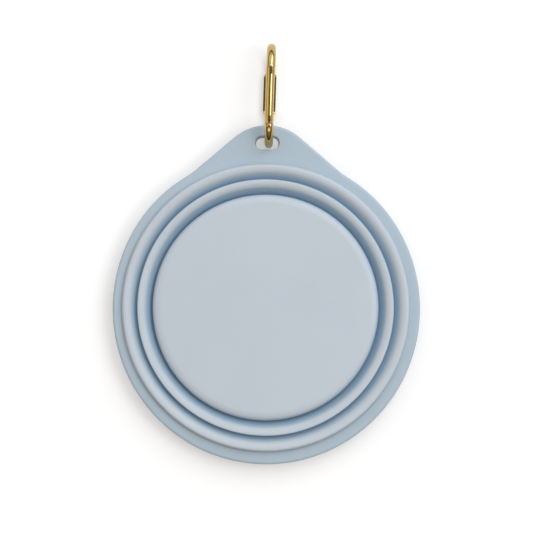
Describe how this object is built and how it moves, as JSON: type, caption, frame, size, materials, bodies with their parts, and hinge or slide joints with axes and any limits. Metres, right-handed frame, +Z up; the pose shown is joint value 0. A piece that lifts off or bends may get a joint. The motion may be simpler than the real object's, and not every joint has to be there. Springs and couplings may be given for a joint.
{
  "type": "collapsible bowl",
  "caption": "Round folding silicone bowl, pressed flat and lying base up, with a flat rim, a hanging tab and a spring-gate clip through the tab's slot.",
  "frame": {"origin": "on the bowl's axis in the plane of the table it lies on, at the mouth side", "axes": "+Z up from the table towards the base, which faces up; +Y towards the tab and the clip; +X to the right with the tab at the top"},
  "size_m": [0.13, 0.1763, 0.021],
  "materials": {
    "silicone": "matte",
    "gold": "polished",
    "steel": "drawn"
  },
  "bodies": {
    "rim": {"rim_with_tab": "silicone", "outer_fold": "silicone"},
    "band": {"middle_band": "silicone", "inner_fold": "silicone"},
    "base": {"base_cup": "silicone"},
    "clip": {"clip_body": "gold", "hinge_pin": "gold"},
    "gate": {"clip_gate": "gold", "latch_pin": "gold", "gate_spring": "steel"},
    "plunger": {"spring_plunger": "steel"}
  },
  "joints": [
    {"name": "outer_fold_slide", "type": "slide", "parent": "rim", "child": "band", "axis": [0, 0, 1], "range_m": [0, 0.0225], "deforming": ["outer_fold"]},
    {"name": "inner_fold_slide", "type": "slide", "parent": "band", "child": "base", "axis": [0, 0, 1], "range_m": [0, 0.026], "deforming": ["inner_fold"]},
    {"name": "clip_swing", "type": "hinge", "parent": "rim", "child": "clip", "pos_m": [0.0008, 0.07784, 0.0105], "axis": [0.9997, -0.0262, 0], "range_deg": [-55, 85]},
    {"name": "gate_open", "type": "hinge", "parent": "clip", "child": "gate", "pos_m": [0.00082, 0.07874, 0.01925], "axis": [-0.9997, 0.0262, 0], "range_deg": [0, 38], "stiffness_Nm_per_rad": 0.01, "springref_deg": -34.38},
    {"name": "plunger_slide", "type": "slide", "parent": "gate", "child": "plunger", "axis": [0.0262, 0.9997, 0], "range_m": [0, 0.00045], "deforming": ["gate_spring"]}
  ],
  "couplings": [
    {"joint": "plunger_slide", "follows": "gate_open", "m_per_rad": 0.0006333}
  ]
}
